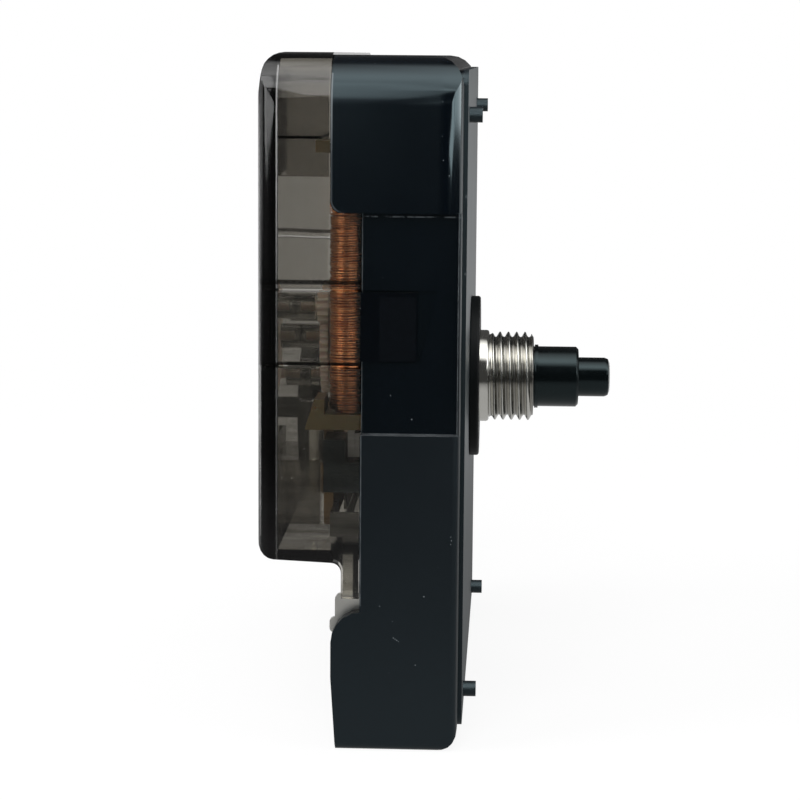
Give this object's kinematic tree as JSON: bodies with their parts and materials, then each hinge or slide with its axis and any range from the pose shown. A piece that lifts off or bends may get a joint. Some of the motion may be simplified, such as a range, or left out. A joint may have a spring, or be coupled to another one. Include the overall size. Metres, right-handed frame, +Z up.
{
  "type": "quartz clock movement",
  "caption": "Battery clock movement with a black case, smoked rear cover, coil motor, gear train, threaded bushing and stepped hand shafts.",
  "frame": {"origin": "middle of the bounding box in plan, at the underside of the battery bay, which is the lowest face", "axes": "+X out of the dial side along the hand shafts, +Y away from the coil side, +Z up as the movement hangs in a clock"},
  "size_m": [0.0292, 0.056, 0.056],
  "materials": {
    "black_plastic": "satin black moulding, glossy on the upper side panel",
    "smoked_plastic": "clear moulding tinted smoky grey, polished",
    "nickel_plate": "bright nickel plating on brass",
    "black_rubber": "matt black rubber",
    "shaft_plastic": "fine matt black moulding",
    "natural_plastic": "translucent natural acetal",
    "steel": "stamped steel, dull grey",
    "magnet": "dark sintered magnet",
    "copper_wire": "enamelled copper wire, orange brown",
    "spool_plastic": "olive brown translucent moulding",
    "board": "brown phenolic board with solder pads",
    "resin": "black potting resin",
    "contact_metal": "nickel plated spring steel strip"
  },
  "bodies": {
    "case": {"front_housing": "black_plastic", "rear_cover": "smoked_plastic", "threaded_bushing": "nickel_plate", "rubber_washer": "black_rubber", "minute_work_pin": "steel", "middle_plate": "black_plastic", "stator_lower_pole": "steel", "stator_upper_pole": "steel", "coil_core": "steel", "coil_spool": "spool_plastic", "coil_underlay": "copper_wire", "coil_wire": "copper_wire", "coil_end_block": "black_plastic", "circuit_board": "board", "timing_chip": "resin", "quartz_crystal": "nickel_plate", "crystal_lead_near": "nickel_plate", "crystal_lead_far": "nickel_plate", "positive_contact": "contact_metal", "negative_contact": "contact_metal"},
    "seconds": {"seconds_wheel": "natural_plastic"},
    "intermediate": {"intermediate_wheel": "natural_plastic"},
    "rotor": {"rotor_pinion": "natural_plastic", "rotor_magnet": "magnet"},
    "third": {"third_wheel": "natural_plastic"},
    "minute_drive": {"minute_wheel": "natural_plastic", "clutch_spring": "steel"},
    "minute_hand_shaft": {"minute_shaft": "shaft_plastic"},
    "minute_work": {"minute_work_wheel": "natural_plastic"},
    "hour_hand_tube": {"hour_wheel_tube": "shaft_plastic"},
    "knob": {"setting_knob": "black_plastic"}
  },
  "joints": [
    {"name": "seconds_spin", "type": "hinge", "parent": "case", "child": "seconds", "pos_m": [-0.00905, 0, 0.02706], "axis": [1, 0, 0], "continuous": true},
    {"name": "intermediate_spin", "type": "hinge", "parent": "case", "child": "intermediate", "pos_m": [-0.01055, -0.00543, 0.03115], "axis": [1, 0, 0], "continuous": true},
    {"name": "rotor_spin", "type": "hinge", "parent": "case", "child": "rotor", "pos_m": [-0.00695, -0.01052, 0.03433], "axis": [1, 0, 0], "continuous": true},
    {"name": "third_spin", "type": "hinge", "parent": "case", "child": "third", "pos_m": [-0.00755, 0.00409, 0.03249], "axis": [1, 0, 0], "continuous": true},
    {"name": "minute_wheel_spin", "type": "hinge", "parent": "case", "child": "minute_drive", "pos_m": [-0.00425, 0, 0.02706], "axis": [1, 0, 0], "continuous": true},
    {"name": "minute_shaft_spin", "type": "hinge", "parent": "case", "child": "minute_hand_shaft", "pos_m": [0.006, 0, 0.02706], "axis": [1, 0, 0], "continuous": true},
    {"name": "minute_work_spin", "type": "hinge", "parent": "case", "child": "minute_work", "pos_m": [-0.0025, 0.003, 0.02186], "axis": [1, 0, 0], "continuous": true},
    {"name": "hour_spin", "type": "hinge", "parent": "case", "child": "hour_hand_tube", "pos_m": [0.005, 0, 0.02706], "axis": [1, 0, 0], "continuous": true},
    {"name": "knob_spin", "type": "hinge", "parent": "case", "child": "knob", "pos_m": [-0.0136, 0.00946, 0.02254], "axis": [1, 0, 0], "continuous": true}
  ],
  "couplings": [
    {"joint": "intermediate_spin", "follows": "seconds_spin", "ratio": -7.5},
    {"joint": "rotor_spin", "follows": "seconds_spin", "ratio": 30},
    {"joint": "third_spin", "follows": "seconds_spin", "ratio": -0.13333},
    {"joint": "minute_wheel_spin", "follows": "seconds_spin", "ratio": 0.016667},
    {"joint": "minute_work_spin", "follows": "minute_shaft_spin", "ratio": -0.33333},
    {"joint": "hour_spin", "follows": "minute_shaft_spin", "ratio": 0.083333},
    {"joint": "knob_spin", "follows": "minute_shaft_spin", "ratio": 0.75}
  ]
}
